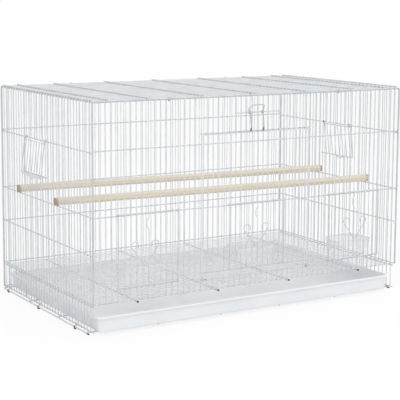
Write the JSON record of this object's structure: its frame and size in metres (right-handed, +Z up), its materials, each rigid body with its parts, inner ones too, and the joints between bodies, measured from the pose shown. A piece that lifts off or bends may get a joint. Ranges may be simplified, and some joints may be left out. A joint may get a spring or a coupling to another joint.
{
  "type": "bird breeding cage",
  "caption": "Long box-shaped wire cage for breeding small birds, with a fold-down front door, lift-up feeder doors, side nest flaps, perches, seed cups, a floor grate and a pull-out tray.",
  "frame": {"origin": "middle of the whole object's outline on the surface that it stands on", "axes": "+X along the front, to the right when the front is faced; the front with the big door faces -Y; +Z up"},
  "size_m": [0.7836, 0.4749, 0.4663],
  "materials": {
    "coated_wire": "satin white powder coat over steel wire",
    "tray_plastic": "smooth moulded white plastic",
    "cup_plastic": "thin milky white plastic",
    "perch_wood": "bare pale dowel"
  },
  "bodies": {
    "cage": {"front_upright_wires": "coated_wire", "front_cross_wires": "coated_wire", "back_upright_wires": "coated_wire", "back_cross_wires": "coated_wire", "left_upright_wires": "coated_wire", "left_cross_wires": "coated_wire", "right_upright_wires": "coated_wire", "right_cross_wires": "coated_wire", "corner_posts": "coated_wire", "roof_wires": "coated_wire", "roof_ribs": "coated_wire", "roof_clips": "coated_wire", "roof_hook": "coated_wire", "base_long_wires": "coated_wire", "base_skids": "coated_wire", "feet": "coated_wire", "side_sleeves": "coated_wire", "grate_runners": "coated_wire", "door_hinge_wire": "coated_wire", "latch_hinge_wire": "coated_wire"},
    "front_door": {"front_door_frame": "coated_wire", "front_door_cross_wires": "coated_wire", "front_door_upright_wires": "coated_wire", "front_door_bent_bar": "coated_wire"},
    "door_latch": {"door_latch": "coated_wire"},
    "left_feeder_door": {"left_feeder_door": "coated_wire"},
    "centre_feeder_door": {"centre_feeder_door": "coated_wire"},
    "right_feeder_door": {"right_feeder_door": "coated_wire"},
    "left_nest_door": {"left_nest_door": "coated_wire"},
    "right_nest_door": {"right_nest_door": "coated_wire"},
    "floor_grate": {"grate_rods": "coated_wire", "grate_wires": "coated_wire"},
    "tray": {"tray": "tray_plastic"},
    "rear_perch": {"rear_perch": "perch_wood"},
    "front_perch": {"front_perch": "perch_wood"},
    "left_cup": {"left_seed_cup": "cup_plastic", "left_cup_hanger": "coated_wire"},
    "centre_cup": {"centre_seed_cup": "cup_plastic", "centre_cup_hanger": "coated_wire"},
    "right_cup": {"right_seed_cup": "cup_plastic", "right_cup_hanger": "coated_wire"}
  },
  "joints": [
    {"name": "front_door_hinge", "type": "hinge", "parent": "cage", "child": "front_door", "pos_m": [0, -0.2252, 0.085], "axis": [1, 0, 0], "range_deg": [0, 100]},
    {"name": "door_latch_turn", "type": "hinge", "parent": "cage", "child": "door_latch", "pos_m": [0, -0.2252, 0.426], "axis": [-1, 0, 0], "range_deg": [0, 33]},
    {"name": "left_feeder_door_lift", "type": "slide", "parent": "cage", "child": "left_feeder_door", "axis": [0, 0, 1], "range_m": [0, 0.12]},
    {"name": "centre_feeder_door_lift", "type": "slide", "parent": "front_door", "child": "centre_feeder_door", "axis": [0, 0, 1], "range_m": [0, 0.12]},
    {"name": "right_feeder_door_lift", "type": "slide", "parent": "cage", "child": "right_feeder_door", "axis": [0, 0, 1], "range_m": [0, 0.12]},
    {"name": "left_nest_door_hinge", "type": "hinge", "parent": "cage", "child": "left_nest_door", "pos_m": [-0.3788, 0.05397, 0.362], "axis": [0, 1, 0], "range_deg": [0, 90]},
    {"name": "right_nest_door_hinge", "type": "hinge", "parent": "cage", "child": "right_nest_door", "pos_m": [0.3788, -0.00143, 0.362], "axis": [0, -1, 0], "range_deg": [0, 90]},
    {"name": "grate_slide", "type": "slide", "parent": "cage", "child": "floor_grate", "axis": [0, 1, 0], "range_m": [-0.4, 0]},
    {"name": "tray_slide", "type": "slide", "parent": "cage", "child": "tray", "axis": [0, 1, 0], "range_m": [-0.4, 0]},
    {"name": "rear_perch_lift", "type": "slide", "parent": "cage", "child": "rear_perch", "axis": [0, 0, 1], "range_m": [0, 0.04]},
    {"name": "front_perch_lift", "type": "slide", "parent": "cage", "child": "front_perch", "axis": [0, 0, 1], "range_m": [0, 0.04]},
    {"name": "left_cup_lift", "type": "slide", "parent": "cage", "child": "left_cup", "axis": [0, 0, 1], "range_m": [0, 0.05]},
    {"name": "centre_cup_lift", "type": "slide", "parent": "front_door", "child": "centre_cup", "axis": [0, 0, 1], "range_m": [0, 0.04]},
    {"name": "right_cup_lift", "type": "slide", "parent": "cage", "child": "right_cup", "axis": [0, 0, 1], "range_m": [0, 0.05]}
  ]
}
